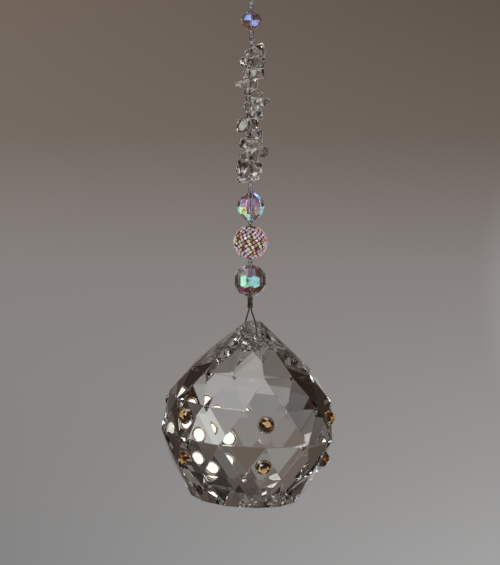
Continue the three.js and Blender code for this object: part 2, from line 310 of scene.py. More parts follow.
@dataclass(frozen=True)
class TopazGlass:
    """Topaz-coloured glass with painted shade and painted highlights: some facets dark, some gold, some
    pale.
    """

    ior: float = 1.6
    clearness: float = 0.15
    gloss: tuple = (0.05, 0.11)
    # A noise that breaks up each facet's painted shade and painted highlight.
    painted_shade_noise_per_mm: float = 1.6
    painted_shade_noise_share: float = 0.55
    painted_fire_strength: float = 0.32
    # Over the stone's own topaz tone, the dark facets are painted shade and the gold and pale ones are
    # painted highlights.
    colours: tuple = (
        (0.00, (0.020, 0.006, 0.002)),
        (0.30, (0.070, 0.020, 0.005)),
        (0.45, (0.300, 0.090, 0.015)),
        (0.65, (0.620, 0.230, 0.040)),
        (0.82, (0.950, 0.560, 0.160)),
        (1.00, (1.000, 0.860, 0.600)),
    )
    # A painted glow on the gold and pale facets, as painted highlights.
    painted_fire: tuple = (
        (0.00, (0.0, 0.0, 0.0)),
        (0.50, (0.02, 0.005, 0.0)),
        (0.85, (0.55, 0.28, 0.06)),
        (1.00, (0.80, 0.62, 0.36)),
    )

    def material(self) -> bpy.types.Material:
        """Glass with painted highlights on some facets and painted shade on others, varied by a noise.

        Returns:
            The material.
        """
        paint = Paint("topaz_glass")
        painted_shade_noise = paint.noise(self.painted_shade_noise_per_mm) - 0.5
        # Each facet's painted light and shade, broken up by the noise.
        shade = paint.facet_value("shade") + painted_shade_noise * self.painted_shade_noise_share
        return paint.finish(
            colour=paint.ramp(shade, self.colours),
            roughness=paint.noise(3.0).between(*self.gloss),
            ior=self.ior,
            clearness=self.clearness,
            coat=1.0,
            glow=paint.ramp(shade, self.painted_fire),
            glow_strength=self.painted_fire_strength,
        )


@dataclass(frozen=True)
class StonePad:
    """The white back of a stone, with a painted glow for the light that comes through the ball."""

    white: tuple = (0.92, 0.92, 0.88)
    worn: tuple = (0.80, 0.79, 0.74)
    lit: tuple = (1.0, 0.995, 0.93)
    wears_per_mm: float = 1.5
    roughness: float = 0.4
    painted_light_strength: float = 1.25

    def material(self) -> bpy.types.Material:
        """Satin white, with a painted glow where the ball would throw light on it.

        Returns:
            The material.
        """
        paint = Paint("stone_pad_white")
        wear = paint.noise(self.wears_per_mm)
        return paint.finish(
            colour=paint.ramp(wear, [(0.35, self.worn), (0.6, self.white)]),
            roughness=self.roughness,
            # A painted glow, not a lamp.
            glow=paint.ramp(paint.facet_value("lit"), [(0.2, UNLIT[:3]), (0.8, self.lit)]),
            glow_strength=self.painted_light_strength,
        )


@dataclass(frozen=True)
class ClearGlue:
    """A bead of dried clear glue."""

    ior: float = 1.48
    tint: tuple = (0.97, 0.95, 0.90)
    shade: tuple = (0.85, 0.82, 0.76)
    gloss: tuple = (0.03, 0.11)
    ripples_per_mm: float = 1.4
    ripple_depth: float = 0.02 * MM

    def material(self) -> bpy.types.Material:
        """Clear glue with small ripples.

        Returns:
            The material.
        """
        paint = Paint("clear_glue")
        ripple = paint.noise(self.ripples_per_mm)
        return paint.finish(
            colour=paint.ramp(ripple, [(0.3, self.shade), (0.7, self.tint)]),
            roughness=ripple.between(*self.gloss),
            ior=self.ior,
            clearness=1.0,
            normal=paint.bump(ripple, self.ripple_depth),
        )


class Film(Enum):
    """The colours that a vapour coat shows, by their place on its ramps."""

    SMOKE = 0.0
    AMBER = 0.07
    CLEAR = 0.14
    PEARL = 0.28
    ROSE = 0.42
    VIOLET = 0.55
    BLUE = 0.67
    CYAN = 0.78
    MINT = 0.89
    LIME = 1.0


@dataclass(frozen=True)
class AuroraGlass:
    """Clear cut glass with a vapour coat that shows another interference colour on each facet."""

    name: str
    ior: float = 1.55
    clearness: float = 0.88
    film_nanometres: float = 420.0
    film_ior: float = 1.9
    film_spread: float = 0.05
    gloss: tuple = (0.02, 0.06)
    painted_flash_from: tuple = (0.25, 0.6)
    painted_flash_strength: float = 0.8
    tints: tuple = (
        (Film.SMOKE, (0.30, 0.20, 0.15)),
        (Film.AMBER, (0.58, 0.27, 0.12)),
        (Film.CLEAR, (0.88, 0.86, 0.86)),
        (Film.PEARL, (0.94, 0.94, 0.95)),
        (Film.ROSE, (0.62, 0.20, 0.34)),
        (Film.VIOLET, (0.76, 0.66, 0.78)),
        (Film.BLUE, (0.66, 0.74, 0.98)),
        (Film.CYAN, (0.60, 0.92, 0.95)),
        (Film.MINT, (0.60, 0.96, 0.80)),
        (Film.LIME, (0.94, 0.96, 0.60)),
    )
    # Painted glints: a glow for each film, which stands in for the light that the coat throws back.
    painted_flashes: tuple = (
        (Film.SMOKE, (0.0, 0.0, 0.0)),
        (Film.AMBER, (0.10, 0.036, 0.009)),
        (Film.CLEAR, (0.0, 0.0, 0.0)),
        (Film.PEARL, (0.20, 0.19, 0.20)),
        (Film.ROSE, (0.10, 0.015, 0.04)),
        (Film.VIOLET, (0.08, 0.045, 0.10)),
        (Film.BLUE, (0.24, 0.40, 0.85)),
        (Film.CYAN, (0.24, 0.62, 0.66)),
        (Film.MINT, (0.24, 0.70, 0.46)),
        (Film.LIME, (0.66, 0.76, 0.24)),
    )

    def material(self) -> bpy.types.Material:
        """Clear glass; each facet's film picks its tint and its painted glint, which fades here and
        there.

        Returns:
            The material.
        """
        paint = Paint(self.name)
        film = paint.facet_value("film") + (paint.noise(0.5, 1.0) - 0.5) * self.film_spread
        fade = paint.noise(0.8, 1.0).clear_of(*self.painted_flash_from)
        painted_flash = paint.ramp(film, [(key.value, colour) for key, colour in self.painted_flashes])
        return paint.finish(
            colour=paint.ramp(film, [(key.value, colour) for key, colour in self.tints]),
            roughness=paint.noise(2.0).between(*self.gloss),
            ior=self.ior,
            clearness=self.clearness,
            film=self.film_nanometres,
            film_ior=self.film_ior,
            # The painted glints, faded by a noise.
            glow=paint.mix(fade, UNLIT, painted_flash),
            glow_strength=self.painted_flash_strength,
        )


@dataclass(frozen=True)
class PaveClay:
    """The dark resin between the small stones of the pave ball."""

    dark: tuple = (0.05, 0.03, 0.025)
    pale: tuple = (0.28, 0.17, 0.14)
    gloss: tuple = (0.35, 0.65)
    grains_per_mm: float = 4.0
    grain_depth: float = 0.05 * MM

    def material(self) -> bpy.types.Material:
        """Grainy dark resin.

        Returns:
            The material.
        """
        paint = Paint("pave_resin")
        grain = paint.noise(self.grains_per_mm, 4.0)
        return paint.finish(
            colour=paint.ramp(grain, [(0.3, self.dark), (0.75, self.pale)]),
            roughness=grain.between(*self.gloss),
            normal=paint.bump(grain, self.grain_depth),
        )


@dataclass(frozen=True)
class PaveStone:
    """The small coated stones of the pave ball."""

    ior: float = 1.58
    clearness: float = 0.2
    metal: float = 0.1
    film_nanometres: float = 380.0
    film_ior: float = 2.0
    film_spread: float = 0.2
    gloss: tuple = (0.06, 0.12)
    # The strength of a painted glow in each stone's colour.
    painted_sparkle: float = 0.36
    colours: tuple = (
        (0.00, (0.08, 0.03, 0.03)),
        (0.14, (0.74, 0.38, 0.24)),
        (0.28, (0.90, 0.60, 0.48)),
        (0.40, (0.88, 0.84, 0.86)),
        (0.52, (0.92, 0.42, 0.55)),
        (0.64, (0.66, 0.60, 0.84)),
        (0.76, (0.90, 0.88, 0.90)),
        (0.88, (0.78, 0.88, 0.48)),
        (1.00, (0.98, 0.94, 0.86)),
    )

    def material(self) -> bpy.types.Material:
        """Coated glass, each stone another colour, with a painted glow in that colour.

        Returns:
            The material.
        """
        paint = Paint("pave_stone_glass")
        film = paint.facet_value("film") + (paint.noise(2.5, 1.0) - 0.5) * self.film_spread
        return paint.finish(
            colour=paint.ramp(film, self.colours),
            metal=self.metal,
            roughness=paint.noise(6.0).between(*self.gloss),
            ior=self.ior,
            clearness=self.clearness,
            coat=1.0,
            film=self.film_nanometres,
            film_ior=self.film_ior,
            # A painted glow in the stone's own colour.
            glow=paint.ramp(film, self.colours),
            glow_strength=self.painted_sparkle,
        )


@dataclass(frozen=True)
class SeedGlass:
    """Lustred glass of the seed beads: pearly in the middle, with painted shade at its rim."""

    ior: float = 1.55
    clearness: float = 0.6
    # The painted shade at the rim.
    painted_rim_shade: tuple = (0.16, 0.13, 0.11, 1)
    dull: tuple = (0.50, 0.46, 0.48)
    pearl: tuple = (0.86, 0.83, 0.88)
    gloss: tuple = (0.05, 0.13)
    clouds_per_mm: float = 0.9
    cloud_warp: float = 0.5
    painted_rim_from: tuple = (0.05, 0.55)
    # Where the painted glow shows in the cloud, and its strength.
    painted_gleam_from: tuple = (0.45, 0.6)
    painted_gleam: float = 0.1

    def material(self) -> bpy.types.Material:
        """Half-clear glass whose lustre fades into painted shade towards the rim, with a faint painted
        glow in a cloud.

        Returns:
            The material.
        """
        paint = Paint("seed_bead_glass")
        cloud = paint.noise(self.clouds_per_mm, 2.0, self.cloud_warp)
        rim = Num(paint, paint.node("LayerWeight", {}, {"Blend": 0.5}).outputs["Facing"])
        lustre = paint.ramp(cloud, [(0.3, self.dull), (0.6, self.pearl)])
        return paint.finish(
            # Painted shade: darker where the surface turns away from the view.
            colour=paint.mix(rim.clear_of(*self.painted_rim_from), lustre, self.painted_rim_shade),
            roughness=cloud.between(*self.gloss),
            ior=self.ior,
            clearness=self.clearness,
            coat=1.0,
            # A faint painted glow in the cloud's brighter patches.
            glow=paint.mix(cloud.clear_of(*self.painted_gleam_from), UNLIT, lustre),
            glow_strength=self.painted_gleam,
        )


@dataclass(frozen=True)
class CrimpMetal:
    """Tarnished metal of the crimps."""

    tarnish: tuple = (0.10, 0.08, 0.05)
    bright: tuple = (0.45, 0.40, 0.30)
    gloss: tuple = (0.42, 0.22)
    wears_per_mm: float = 1.5
    wear_depth: float = 0.02 * MM

    def material(self) -> bpy.types.Material:
        """Dark brassy metal with brighter worn places.

        Returns:
            The material.
        """
        paint = Paint("crimp_metal_worn")
        wear = paint.noise(self.wears_per_mm, 3.0)
        return paint.finish(
            colour=paint.ramp(wear, [(0.35, self.tarnish), (0.7, self.bright)]),
            metal=1.0,
            roughness=wear.between(*self.gloss),
            normal=paint.bump(wear, self.wear_depth),
        )


@dataclass(frozen=True)
class BeadingWire:
    """Stranded steel wire in a clear skin."""

    groove_painted_shade: tuple = (0.10, 0.09, 0.06)
    crest: tuple = (0.32, 0.30, 0.22)
    metal: float = 0.85
    skin: float = 0.6
    gloss: tuple = (0.3, 0.42)
    strands_per_mm: float = 3.0
    strand_warp: float = 0.4
    strand_depth: float = 0.012 * MM

    def material(self) -> bpy.types.Material:
        """Grey-olive metal with the twist of its strands, darker in the grooves between them as painted
        shade.

        Returns:
            The material.
        """
        paint = Paint("beading_wire_steel")
        twist = paint.node(
            "TexWave",
            {"wave_type": "BANDS", "bands_direction": "DIAGONAL"},
            {
                "Vector": paint.place(),
                "Scale": self.strands_per_mm / MM,
                "Distortion": self.strand_warp,
            },
        )
        strands = Num(paint, twist.outputs["Fac"])
        return paint.finish(
            # Darker in the grooves and lighter on the crests, with the relief: painted shade.
            colour=paint.ramp(strands, [(0.0, self.groove_painted_shade), (1.0, self.crest)]),
            metal=self.metal,
            roughness=strands.between(*self.gloss),
            coat=self.skin,
            normal=paint.bump(strands, self.strand_depth),
        )


@dataclass(frozen=True)
class RockCrystal:
    """Tumbled quartz with faint veils inside and a satin patch here and there."""

    ior: float = 1.545
    clear: tuple = (0.88, 0.84, 0.81)
    veiled: tuple = (0.62, 0.57, 0.53)
    # Painted glints: a white glow in scattered patches.
    painted_glint: tuple = (0.95, 0.93, 0.90, 1)
    painted_glint_from: tuple = (0.64, 0.72)
    painted_glint_strength: float = 0.4
    satin_from: tuple = (0.5, 0.75)
    satin: float = 0.16
    dimple_depth: float = 0.03 * MM

    def material(self) -> bpy.types.Material:
        """Smoky-clear stone, darker in its veils, with a few painted glints.

        Returns:
            The material.
        """
        paint = Paint("rock_crystal_stone")
        veil = paint.noise(0.45, 4.0, 0.8)
        rough = paint.noise(0.8, 3.0)
        painted_glints = paint.noise(0.6, 1.0, 0.3).clear_of(*self.painted_glint_from)
        return paint.finish(
            colour=paint.ramp(veil, [(0.35, self.clear), (0.75, self.veiled)]),
            roughness=rough.clear_of(*self.satin_from) * self.satin,
            ior=self.ior,
            clearness=1.0,
            normal=paint.bump(paint.noise(1.1, 3.0), self.dimple_depth),
            glow=paint.mix(painted_glints, UNLIT, self.painted_glint),
            glow_strength=self.painted_glint_strength,
        )


# ---------------------------------------------------------------- meshes


def scatter(seeds: np.ndarray) -> np.ndarray:
    """Numbers from 0 to 1 that look random: the fraction of a large sine of each seed."""
    wave = np.sin(seeds * 12.9898) * 43758.5453
    return wave - np.floor(wave)


def solid_arrays(node: str) -> tuple[np.ndarray, np.ndarray]:
    """A CAD solid as arrays.

    Args:
        node: The CAD node.

    Returns:
        Its points, and its triangles as rows of three point numbers.
    """
    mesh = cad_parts[node].data
    points = np.empty(len(mesh.vertices) * 3)
    mesh.vertices.foreach_get("co", points)
    mesh.calc_loop_triangles()
    triangles = np.empty(len(mesh.loop_triangles) * 3, int)
    mesh.loop_triangles.foreach_get("vertices", triangles)
    return points.reshape(-1, 3), triangles.reshape(-1, 3)


def solid_planes(node: str) -> tuple[np.ndarray, np.ndarray, np.ndarray]:
    """The flat faces of a CAD solid: its triangles, gathered by normal and by distance.

    Args:
        node: The CAD node.

    Returns:
        The faces' unit normals, their distances from the origin, and their areas.
    """
    points, triangles = solid_arrays(node)
    a, b, c = (points[triangles[:, i]] for i in range(3))
    cross = np.cross(b - a, c - a)
    double = np.linalg.norm(cross, axis=1)
    keep = double > SLIVER
    normals = cross[keep] / double[keep, None]
    areas = double[keep] / 2
    offsets = (normals * a[keep]).sum(1)
    key = np.column_stack([normals.round(3), (offsets / MM).round(2)])
    _, first, group = np.unique(key, axis=0, return_index=True, return_inverse=True)
    total = np.bincount(group.reshape(-1), weights=areas)
    return normals[first], offsets[first], total


def middle_and_half(node: str) -> tuple[np.ndarray, float, float]:
    """How a CAD node lies on the strand.

    Args:
        node: The CAD node.

    Returns:
        The middle of its box, half of its width and half of its height.
    """
    low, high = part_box(node)
    return np.array((low + high) / 2), (high.x - low.x) / 2, (high.z - low.z) / 2


def new_piece(
    name: str,
    mesh: bpy.types.Mesh,
    material: bpy.types.Material,
    replaced: Sequence[str] = (),
) -> bpy.types.Object:
    """Makes an object of a mesh, dresses it and hangs it on the frame.

    Args:
        name: The piece's name.
        mesh: Its mesh, in place.
        material: Its material.
        replaced: The CAD nodes that it stands for.

    Returns:
        The object.
    """
    piece = bpy.data.objects.new(name, mesh)
    mesh.name = name
    bpy.context.scene.collection.objects.link(piece)
    mesh.materials.clear()
    mesh.materials.append(material)
    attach(piece, "root")
    if replaced:
        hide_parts(*replaced)
    LOG.info("%s: %d faces", name, len(mesh.polygons))
    return piece


def array_mesh(name: str, points: np.ndarray, faces: np.ndarray, smooth: bool) -> bpy.types.Mesh:
    """A mesh from whole arrays.

    Args:
        name: The mesh's name.
        points: Its points.
        faces: Its faces, as rows of point numbers, all with the same number of corners.
        smooth: Whether its faces are shaded smooth.

    Returns:
        The mesh.
    """
    mesh = bpy.data.meshes.new(name)
    count, corners = faces.shape
    mesh.vertices.add(len(points))
    mesh.vertices.foreach_set("co", points.astype(np.float32).reshape(-1))
    mesh.loops.add(count * corners)
    mesh.loops.foreach_set("vertex_index", faces.astype(np.int32).reshape(-1))
    mesh.polygons.add(count)
    mesh.polygons.foreach_set("loop_start", np.arange(0, count * corners, corners, dtype=np.int32))
    mesh.polygons.foreach_set("use_smooth", np.full(count, smooth))
    mesh.update(calc_edges=True)
    mesh.validate()
    return mesh


def wrapped_faces(rows: int, columns: int) -> np.ndarray:
    """The quads of a grid that closes on itself both ways: each point with the next along its
    row and the same two in the row above. They face out where rows run upwards on the outside
    and columns run anticlockwise.

    Args:
        rows: How many rows of points the grid has.
        columns: How many points there are in a row.

    Returns:
        The quads, as rows of four point numbers.
    """
    row, column = np.meshgrid(np.arange(rows), np.arange(columns), indexing="ij")
    up, on = (row + 1) % rows, (column + 1) % columns
    corners = [row * columns + column, row * columns + on, up * columns + on, up * columns + column]
    return np.stack(corners, axis=-1).reshape(-1, 4)


def face_numbers(mesh: bpy.types.Mesh, name: str, values: np.ndarray) -> None:
    """Stores a number for each face of a mesh, under the given name."""
    layer = mesh.attributes.new(name, "FLOAT", "FACE")
    layer.data.foreach_set("value", values.astype(np.float32))


def face_normals(mesh: bpy.types.Mesh) -> np.ndarray:
    """The faces' directions.

    Args:
        mesh: The mesh.

    Returns:
        The unit normal of each face.
    """
    normals = np.empty(len(mesh.polygons) * 3)
    mesh.polygons.foreach_get("normal", normals)
    return normals.reshape(-1, 3)


def join_facets(shape: bmesh.types.BMesh) -> None:
    """Joins the triangles that lie in one plane into one flat facet."""
    bmesh.ops.dissolve_limit(shape, angle_limit=FLATNESS, verts=shape.verts, edges=shape.edges)


def cut_copy(node: str) -> bpy.types.Mesh:
    """A copy of a cut CAD solid with its triangles joined into flat facets.

    Args:
        node: The CAD node.

    Returns:
        The copy.
    """
    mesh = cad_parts[node].data.copy()
    shape = bmesh.new()
    shape.from_mesh(mesh)
    bmesh.ops.remove_doubles(shape, verts=shape.verts, dist=0.002 * MM)
    join_facets(shape)
    shape.to_mesh(mesh)
    shape.free()
    return mesh


def soften_edges(piece: bpy.types.Object, width: float) -> None:
    """Grinds a narrow flat along each edge between two facets.

    Args:
        piece: The piece.
        width: How far the flat reaches from the edge.
    """
    bevel = piece.modifiers.new("ground_edges", "BEVEL")
    bevel.width = width
    bevel.segments = 1
    bevel.limit_method = "ANGLE"
    bevel.angle_limit = math.radians(4)
    bevel.use_clamp_overlap = True


def hull_mesh(points: np.ndarray) -> bpy.types.Mesh:
    """The convex hull of some points, its triangles joined into flat facets, facing out.

    Args:
        points: The points, all on the hull.

    Returns:
        The hull's mesh.
    """
    mesh = bpy.data.meshes.new("hull")
    mesh.from_pydata(points, [], [])
    shape = bmesh.new()
    shape.from_mesh(mesh)
    bmesh.ops.convex_hull(shape, input=shape.verts)
    join_facets(shape)
    bmesh.ops.recalc_face_normals(shape, faces=shape.faces)
    shape.to_mesh(mesh)
    shape.free()
    return mesh


def turned_surface(profile: np.ndarray, columns: int) -> tuple[np.ndarray, np.ndarray]:
    """A closed ring: each point of a profile is carried round an upright axis, its X the radius
    times the angle's cosine and its Y the radius times its sine.

    Args:
        profile: The closed profile, as (radius, height) rows.
        columns: How many steps there are in a turn.

    Returns:
        The points and the quads.
    """
    angle = np.arange(columns) * 2 * math.pi / columns
    radius, height = profile[:, :1], profile[:, 1:]
    points = np.stack(
        [radius * np.cos(angle), radius * np.sin(angle), height + 0 * angle], axis=-1
    )
    return points.reshape(-1, 3), wrapped_faces(len(profile), columns)


def rounded_profile(
    bore: float, outer: float, half: float, squareness: float, count: int
) -> np.ndarray:
    """A closed profile between a bore and a rim: a superellipse, whose radius and height are the
    angle's cosine and sine to the power of two over the squareness.

    Args:
        bore: The radius of the bore.
        outer: The radius of the rim.
        half: Half of the height.
        squareness: 2 for an ellipse, and more for squarer shoulders.
        count: How many points the profile has.

    Returns:
        The profile, as (radius, height) rows.
    """
    angle = -np.arange(count) * 2 * math.pi / count + math.pi
    power = 2 / squareness
    out = np.sign(np.cos(angle)) * np.abs(np.cos(angle)) ** power
    up = np.sign(np.sin(angle)) * np.abs(np.sin(angle)) ** power
    profile = np.column_stack([(bore + outer) / 2 + out * (outer - bore) / 2, up * half])
    return profile[::-1]


# ---------------------------------------------------------------- the ball and its stones


@dataclass
class CrystalBall:
    """The faceted ball, its ground edges and its polish."""

    node: str = "crystal_ball"
    edge: float = 0.09 * MM

    def build(self) -> None:
        """Replaces the plain solid with one whose facet edges are ground."""
        glass = LeadCrystal().material()
        piece = new_piece(
            "crystal_ball_cut", cut_copy(self.node), glass, [self.node]
        )
        soften_edges(piece, self.edge)


@dataclass
class Seat:
    """Where a stone sits: the middle of its flat back, its axes as rows with the outward one
    last, its radius and its height."""

    middle: np.ndarray
    axes: np.ndarray
    radius: float
    height: float

    @classmethod
    def of(cls, node: str) -> "Seat":
        """Reads a seat from the stone's solid: its largest flat face is its back.

        Args:
            node: The stone's CAD node.

        Returns:
            The seat.
        """
        normals, _, areas = solid_planes(node)
        outward = -normals[areas.argmax()]
        points, _ = solid_arrays(node)
        along = points @ outward
        back = points[along < along.min() + 0.01 * MM]
        middle = back.mean(0)
        across = back[0] - middle
        radius = np.linalg.norm(across)
        side = across / radius
        axes = np.stack([side, np.cross(outward, side), outward])
        return cls(middle, axes, radius, float(np.ptp(along)))

    def placed(self, points: np.ndarray) -> np.ndarray:
        """Points given along the seat's axes, put in place."""
        return points @ self.axes + self.middle

    def ring(self, radius: float, height: float, sides: int, turn: float = 0) -> np.ndarray:
        """The corners of a regular ring about the seat's axis: the radius times the cosine and
        the sine of even steps of angle, at one height.

        Args:
            radius: The ring's radius.
            height: Its height over the stone's back.
            sides: How many corners it has.
            turn: Its turn, in steps.

        Returns:
            The corners, along the seat's axes.
        """
        angle = (np.arange(sides) + turn) * 2 * math.pi / sides
        return np.column_stack([radius * np.cos(angle), radius * np.sin(angle), 0 * angle + height])


@dataclass
class GluedStones:
    """The two rows of topaz stones with their white backs and their glue.

    Radii are shares of the stone's radius, and heights are shares of its height.
    """

    per_row: int = 6
    sides: int = 8
    table: float = 0.42
    shoulder: float = 0.76
    shoulder_height: float = 0.72
    girdle: float = 0.985
    girdle_height: float = 0.22
    under_height: float = 0.16
    under_point: float = 0.3
    # The table's painted highlight, and how far the facets' painted shade leans to dark.
    table_shade: float = 0.86
    shade_power: float = 1.7
    glue_gap: float = 0.2 * MM
    glue_reach: float = 0.22 * MM
    glue_skin: float = 0.01 * MM
    glue_climb: float = 0.4
    glue_columns: int = 32
    pad_share: float = 0.86
    pad_thick: float = 0.12 * MM
    pad_sides: int = 36

    def stone_mesh(self, node: str) -> bpy.types.Mesh:
        """A cut stone, the hull of five rings of corners: table, star and bezel facets over a
        girdle, and a shallow flat-ended point beneath.

        Args:
            node: The stone's CAD node.

        Returns:
            The mesh, with each facet's painted light and shade.
        """
        seat = Seat.of(node)
        radius, height, sides = seat.radius, seat.height, self.sides
        corners = np.concatenate(
            [
                seat.ring(radius * self.table, height, sides),
                seat.ring(radius * self.shoulder, height * self.shoulder_height, sides, 0.5),
                seat.ring(radius * self.girdle, height * self.girdle_height, sides * 2),
                seat.ring(radius * self.girdle, height * self.under_height, sides * 2),
                seat.ring(radius * self.under_point, 0, sides),
            ]
        )
        mesh = hull_mesh(seat.placed(corners))
        normals = face_normals(mesh)
        right, front, facing = (normals @ axis for axis in seat.axes)
        turn = np.arctan2(front, right)
        # Each facet's painted light and shade, scattered by its turn and tilt; the table gets a painted
        # highlight.
        seed = 3.7 * float(node[-1]) + (0.0 if node.startswith("upper") else 11.3)
        shade = scatter(np.round(turn * 2.5) + 7 * np.round(facing * 4) + seed) ** self.shade_power
        face_numbers(mesh, "shade", np.where(facing > 0.98, self.table_shade, shade))
        return mesh

    def glue_mesh(self, node: str) -> bpy.types.Mesh:
        """A bead of glue: a profile that climbs from the facet to the girdle in a hollow quarter
        of an ellipse, carried round the stone.

        Args:
            node: The stone's CAD node.

        Returns:
            The mesh.
        """
        seat = Seat.of(node)
        quarter = np.linspace(0, math.pi / 2, 9)
        low = -0.95 * self.glue_gap
        top = self.girdle_height * seat.height * self.glue_climb
        rim = seat.radius + self.glue_skin
        out = rim + self.glue_reach * (1 - np.sin(quarter))
        rise = low + (top - low) * (1 - np.cos(quarter))
        inside = seat.radius * (self.pad_share + 0.01)
        under = -2 * self.glue_skin
        profile = np.concatenate(
            [[[inside, low]], np.column_stack([out, rise]), [[rim, under], [inside, under]]]
        )
        points, faces = turned_surface(profile, self.glue_columns)
        return array_mesh("glue", seat.placed(points), faces, True)

    def pad_mesh(self, node: str) -> bpy.types.Mesh:
        """The white back of a stone, the hull of four rings: a thin disc with chamfered rims, in
        the glue under it.

        Args:
            node: The stone's CAD node.

        Returns:
            The mesh, with how much painted glow it gets: most where it faces the front of the ball
            from behind.
        """
        seat = Seat.of(node)
        reach, chamfer = seat.radius * self.pad_share, self.pad_thick / 4
        low = -0.97 * self.glue_gap
        high = low + self.pad_thick
        corners = np.concatenate(
            [
                seat.ring(reach - chamfer, low, self.pad_sides),
                seat.ring(reach, low + chamfer, self.pad_sides),
                seat.ring(reach, high - chamfer, self.pad_sides),
                seat.ring(reach - chamfer, high, self.pad_sides),
            ]
        )
        mesh = hull_mesh(seat.placed(corners))
        outward = seat.axes[2]
        # The painted glow, by how far the back faces the front of the ball from behind.
        face_numbers(mesh, "lit", np.full(len(mesh.polygons), max(outward[1], 0) ** 4))
        return mesh

    def build(self) -> None:
        """Makes the stones, their backs and their glue, column by column."""
        topaz = TopazGlass().material()
        glue = ClearGlue().material()
        pad = StonePad().material()
        for row in ("upper", "lower"):
            for column in range(1, self.per_row + 1):
                node = f"{row}_stone_{column}"
                new_piece(f"{row}_topaz_{column}", self.stone_mesh(node), topaz, [node])
                new_piece(f"{row}_pad_{column}", self.pad_mesh(node), pad)
                new_piece(f"{row}_glue_{column}", self.glue_mesh(node), glue)


# ---------------------------------------------------------------- the strand


@dataclass
class Wire:
    """The wire and its crimps."""

    crimp_bore: float = 0.7
    crimp_squareness: float = 4.0
    crimp_points: int = 20
    crimp_columns: int = 32
    pinch: float = 0.06

    def build(self) -> None:
        """Dresses the wire and makes the crimps."""
        mesh = cut_copy("hanging_wire")
        mesh.polygons.foreach_set("use_smooth", np.full(len(mesh.polygons), True))
        steel = BeadingWire().material()
        new_piece("hanging_wire_drawn", mesh, steel, ["hanging_wire"])
        metal = CrimpMetal().material()
        for place in ("ball", "loop"):
            for row in ("lower", "upper"):
                node = f"{place}_crimp_{row}"
                new_piece(f"{node}_pressed", self.crimp_mesh(node), metal, [node])

    def crimp_mesh(self, node: str) -> bpy.types.Mesh:
        """A tube of rounded-square section, pinched front and back at its middle by a share that
        falls off as the squared cosine of the height.

        Args:
            node: The crimp's CAD node.

        Returns:
            The mesh.
        """
        middle, outer, half = middle_and_half(node)
        bore = outer * self.crimp_bore
        profile = rounded_profile(bore, outer, half, self.crimp_squareness, self.crimp_points)
        points, faces = turned_surface(profile, self.crimp_columns)
        pinch = self.pinch * np.cos(points[:, 2] / half * math.pi / 2) ** 2
        points[:, 1] *= 1 - pinch
        points[:, 0] *= 1 - pinch * 0.3
        return array_mesh(node, points + [0, 0, middle[2]], faces, True)


@dataclass
class SeedBeads:
    """The small round beads between the others."""

    count: int = 14
    squareness: float = 2.05
    bore_share: float = 0.48
    fullest: float = 0.985
    spread: float = 0.03
    profile_points: int = 18
    columns: int = 28

    def build(self) -> None:
        """Makes every seed bead, each a little different in width."""
        glass = SeedGlass().material()
        for number in range(1, self.count + 1):
            node = f"seed_bead_{number:02d}"
            mesh = self.seed_mesh(node, number)
            new_piece(f"{node}_lustred", mesh, glass, [node])

    def seed_mesh(self, node: str, number: int) -> bpy.types.Mesh:
        """A rounded ring, carried round the wire.

        Args:
            node: The seed's CAD node.
            number: Its place on the strand, which picks its width.

        Returns:
            The mesh.
        """
        middle, widest, half = middle_and_half(node)
        outer = widest * (self.fullest - self.spread * float(scatter(np.array(number))))
        bore = outer * self.bore_share
        profile = rounded_profile(bore, outer, half, self.squareness, self.profile_points)
        points, faces = turned_surface(profile, self.columns)
        return array_mesh(node, points + [0, 0, middle[2]], faces, True)


